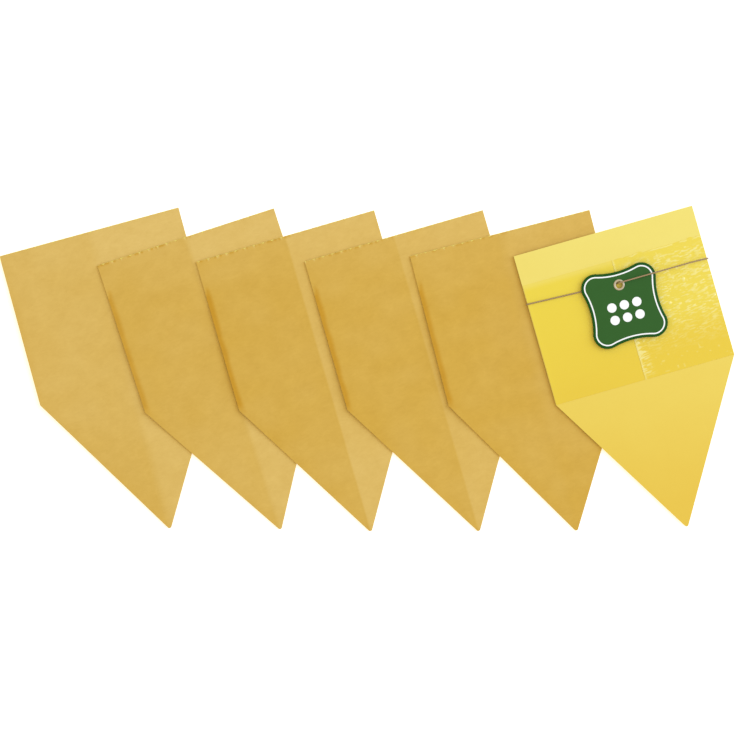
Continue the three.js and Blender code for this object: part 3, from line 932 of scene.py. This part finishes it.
def paper_material(colours):
    """Release paper: tan, paler or darker by its tone, which carries a painted sheen and painted shade, a deeper
    margin, ragged edge bits with painted shadow between them, and lying fibres.
    """
    material, tree, shader, place, tone = new_material("tan_release_paper", 0.55, 0.22)
    colour = mixed(tree, tone[0], rgba(colours.paper_dark), rgba(colours.paper_light))
    colour = mixed(tree, tone[1], colour, rgba(colours.paper_margin))
    # Above a half, the pale torn bits; below it, the margin colour for the darker bits, partly ragged fibres and
    # partly painted shadow.
    for share, bits in ((2.0, colours.paper_torn), (-2.0, colours.paper_margin)):
        beyond = maths(tree, "MULTIPLY", maths(tree, "SUBTRACT", tone[2], 0.5), share)
        colour = mixed(tree, maths(tree, "MAXIMUM", beyond, 0.0), colour, rgba(bits))
    with_fibres(tree, shader, place, colour, 0.40, 1.0, 0.02 * MM, 0.6)
    return material


def card_material(colours):
    """Coated yellow card: a ramp from its deep to its pale yellow by tone, and a faint fibre."""
    material, tree, shader, place, tone = new_material("trap_card", 0.42, 0.35)
    ramp = node(tree, "ShaderNodeValToRGB", {0: tone[0]})
    stops = ramp.color_ramp.elements
    stops.new(0.5)
    for stop, colour in zip(stops, (colours.card_deep, colours.card_middle, colours.card_light)):
        stop.color = rgba(colour)
    with_fibres(tree, shader, place, ramp.outputs[0], 0.05, 1.3, 0.01 * MM, 0.4)
    return material


def coat_material(colours):
    """Tacky coat: clear wet yellow, paler where a painted highlight lies on its ripples, with fine drag marks where
    it is rippled.
    """
    material, tree, shader, place, tone = new_material("tacky_coat", 0.16, 0.5)
    colour = mixed(tree, tone[0], rgba(colours.coat_deep), rgba(colours.coat_light))
    # Painted highlight: the second tone channel mixes in the pale highlight colour.
    colour = mixed(tree, maths(tree, "MULTIPLY", tone[1], 0.8), colour, rgba(colours.coat_painted_highlight))
    with_fibres(tree, shader, place, colour, 0.04, 0.7)
    marks = speckle(tree, squeezed(tree, place, 0.30, 1.0, 1.0), 700.0, 3.0, distortion=0.8)
    bumped(tree, shader, maths(tree, "MULTIPLY", marks, tone[2]), 0.12 * MM, 0.8)
    spots = speckle(tree, place, 240.0, 2.0)
    tree.links.new(maths(tree, "MULTIPLY_ADD", spots, 0.12, 0.10), shader.inputs["Roughness"])
    return material


def string_material(colours):
    """Natural two-ply string: darker between the plies, painted shade, with short fibres running along them."""
    material, tree, shader, place, tone = new_material("string_twine", 0.9, 0.2)
    fibres = speckle(tree, squeezed(tree, place, 0.5, 8.0, 1.0), 2600.0, 3.0)
    raised = maths(tree, "MULTIPLY", maths(tree, "SUBTRACT", fibres, 0.4), 0.7)
    lit = maths(tree, "MULTIPLY_ADD", tone[0], 0.75, raised)
    colour = mixed(tree, lit, rgba(colours.string_hollow_shade), rgba(colours.string_light))
    tree.links.new(colour, shader.inputs["Base Color"])
    bumped(tree, shader, fibres, 0.08 * MM, 0.8)
    return material


def board_material(colours):
    """Printed tag board: green field, darker border, faint paper fibre under a satin varnish."""
    material, tree, shader, place, tone = new_material("green_tag_board", 0.45, 0.15)
    colour = mixed(tree, tone[0], rgba(colours.tag_green), rgba(colours.tag_border))
    with_fibres(tree, shader, place, colour, 0.18, 1.6, 0.02 * MM, 0.5)
    return material


def print_material(colours):
    """White print on the tag, with the board's fibre showing faintly through."""
    material, tree, shader, place, _ = new_material("tag_print", 0.5, 0.4)
    with_fibres(tree, shader, place, rgba(colours.print_white), 0.03, 1.6, 0.01 * MM, 0.5)
    return material


def eyelet_material(colours):
    """Dull nickelled brass: a metal with turning marks and small stains."""
    material, tree, shader, place, _ = new_material("dull_eyelet_metal", 0.45, 0.4)
    shader.inputs["Metallic"].default_value = 0.6
    stains = speckle(tree, place, 900.0, 3.0)
    dull = tuple(0.78 * x for x in colours.eyelet)
    tree.links.new(mixed(tree, stains, rgba(dull), rgba(colours.eyelet)), shader.inputs["Base Color"])
    tree.links.new(maths(tree, "MULTIPLY_ADD", stains, 0.25, 0.26), shader.inputs["Roughness"])
    bumped(tree, shader, stains, 0.03 * MM, 0.5)
    return material


def shared(name, make):
    """The material of that name, made once."""
    return bpy.data.materials.get(name) or make(bpy.context.scene.trap_colours)


# ---- Operators ----

class TRAPFAN_OT_cards(bpy.types.Operator):
    """Make the six creased cards"""

    bl_idname = "trapfan.cards"
    bl_label = "Cards"

    def execute(self, context):
        material = shared("trap_card", card_material)
        for number in (*COVERED_TRAPS, BARE_TRAP):
            make_card(number, material)
        return {"FINISHED"}


class TRAPFAN_OT_coats(bpy.types.Operator):
    """Make the tacky coat on both halves of every card"""

    bl_idname = "trapfan.coats"
    bl_label = "Tacky coats"

    def execute(self, context):
        material = shared("tacky_coat", coat_material)
        for number in COVERED_TRAPS:
            make_coat(number, -1, 50, 60, material)
            make_coat(number, 1, 30, 36, material)
        make_coat(BARE_TRAP, -1, 60, 70, material)
        make_coat(BARE_TRAP, 1, 110, 290, material)
        return {"FINISHED"}


class TRAPFAN_OT_papers(bpy.types.Operator):
    """Make the release papers of the five covered traps"""

    bl_idname = "trapfan.papers"
    bl_label = "Release papers"

    def execute(self, context):
        material = shared("tan_release_paper", paper_material)
        for number in COVERED_TRAPS:
            make_paper(number, -1, material)
            make_paper(number, 1, material)
        return {"FINISHED"}


class TRAPFAN_OT_string(bpy.types.Operator):
    """Make the string round the top trap, with its knot"""

    bl_idname = "trapfan.string"
    bl_label = "String"

    def execute(self, context):
        make_string(shared("string_twine", string_material))
        return {"FINISHED"}


class TRAPFAN_OT_tag(bpy.types.Operator):
    """Make the tag with its printed line and dots"""

    bl_idname = "trapfan.tag"
    bl_label = "Tag"

    def execute(self, context):
        make_board(shared("green_tag_board", board_material))
        make_print(shared("tag_print", print_material))
        return {"FINISHED"}


class TRAPFAN_OT_eyelet(bpy.types.Operator):
    """Make the tag's eyelet"""

    bl_idname = "trapfan.eyelet"
    bl_label = "Eyelet"

    def execute(self, context):
        make_eyelet(shared("dull_eyelet_metal", eyelet_material))
        return {"FINISHED"}


def area_light(name, height, size, power, tint=WHITE):
    """A square light that faces the origin, at that angle over the floor."""
    stage = bpy.context.scene.trap_stage
    data = bpy.data.lights.new(name, "AREA")
    data.size, data.energy, data.color = size, power, tint
    light = bpy.data.objects.new(name, data)
    level = math.cos(height)
    towards = Vector((math.cos(stage.light_turn) * level, math.sin(stage.light_turn) * level, math.sin(height)))
    light.location = towards * stage.light_distance
    light.rotation_euler = towards.to_track_quat("Z", "Y").to_euler()
    bpy.context.scene.collection.objects.link(light)


class TRAPFAN_OT_stage(bpy.types.Operator):
    """Make the floor, the lights and the camera"""

    bl_idname = "trapfan.stage"
    bl_label = "Stage"

    def execute(self, context):
        scene = context.scene
        stage = scene.trap_stage
        half = 0.5 * stage.floor_size
        mesh = bpy.data.meshes.new("floor")
        corners = ((-half, -half), (half, -half), (half, half), (-half, half))
        mesh.from_pydata([(x, y, FLOOR_LEVEL) for x, y in corners], [], [(0, 1, 2, 3)])
        material, tree, shader, _, _ = new_material("floor_white", 0.9, 0.1)
        place = node(tree, "ShaderNodeTexCoord").outputs["Object"]
        with_fibres(tree, shader, place, rgba(scene.trap_colours.floor), 0.004, 0.2)
        shader.inputs["Emission Color"].default_value = rgba(WHITE)
        shader.inputs["Emission Strength"].default_value = stage.floor_glow
        mesh.materials.append(material)
        floor = bpy.data.objects.new("floor", mesh)
        scene.collection.objects.link(floor)

        world = bpy.data.worlds.new("studio")
        world.use_nodes = True
        background = world.node_tree.nodes["Background"]
        background.inputs["Color"].default_value = rgba(stage.sky_tint)
        background.inputs["Strength"].default_value = stage.sky
        scene.world = world
        area_light("key", stage.key_height, stage.key_size, stage.key_power, stage.key_tint)
        area_light("gloss", stage.gloss_height, stage.gloss_size, stage.gloss_power)

        data = bpy.data.cameras.new("camera")
        data.lens = stage.lens
        camera = bpy.data.objects.new("camera", data)
        camera.location = (stage.centre_x, stage.centre_y, stage.camera_height)
        scene.collection.objects.link(camera)
        scene.camera = camera
        scene.view_settings.view_transform = "Standard"
        return {"FINISHED"}


class TRAPFAN_PT_panel(bpy.types.Panel):
    """Lists the operators and the sizes and colours they read"""

    bl_idname = "TRAPFAN_PT_panel"
    bl_label = "Sticky insect traps"
    bl_space_type = "VIEW_3D"
    bl_region_type = "UI"
    bl_category = "Insect traps"

    def draw(self, context):
        for operator in OPERATORS:
            self.layout.operator(operator.bl_idname)
        for name in ("trap_sizes", "tag_sizes", "trap_colours", "trap_stage"):
            group = getattr(context.scene, name)
            column = self.layout.column(align=True)
            for key in group.__annotations__:
                column.prop(group, key)


OPERATORS = (
    TRAPFAN_OT_cards,
    TRAPFAN_OT_coats,
    TRAPFAN_OT_papers,
    TRAPFAN_OT_string,
    TRAPFAN_OT_tag,
    TRAPFAN_OT_eyelet,
    TRAPFAN_OT_stage,
)
CLASSES = (TrapSizes, TrapColours, TagSizes, StageSettings, *OPERATORS, TRAPFAN_PT_panel)


def register():
    for cls in CLASSES:
        bpy.utils.register_class(cls)
    bpy.types.Scene.trap_sizes = PointerProperty(type=TrapSizes)
    bpy.types.Scene.trap_colours = PointerProperty(type=TrapColours)
    bpy.types.Scene.tag_sizes = PointerProperty(type=TagSizes)
    bpy.types.Scene.trap_stage = PointerProperty(type=StageSettings)


def unregister():
    for name in ("trap_sizes", "trap_colours", "tag_sizes", "trap_stage"):
        delattr(bpy.types.Scene, name)
    for cls in reversed(CLASSES):
        bpy.utils.unregister_class(cls)


def main():
    """Registers the classes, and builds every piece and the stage."""
    register()
    bpy.ops.trapfan.cards()
    bpy.ops.trapfan.coats()
    bpy.ops.trapfan.papers()
    bpy.ops.trapfan.string()
    bpy.ops.trapfan.tag()
    bpy.ops.trapfan.eyelet()
    bpy.ops.trapfan.stage()


if __name__ == "__main__":
    main()
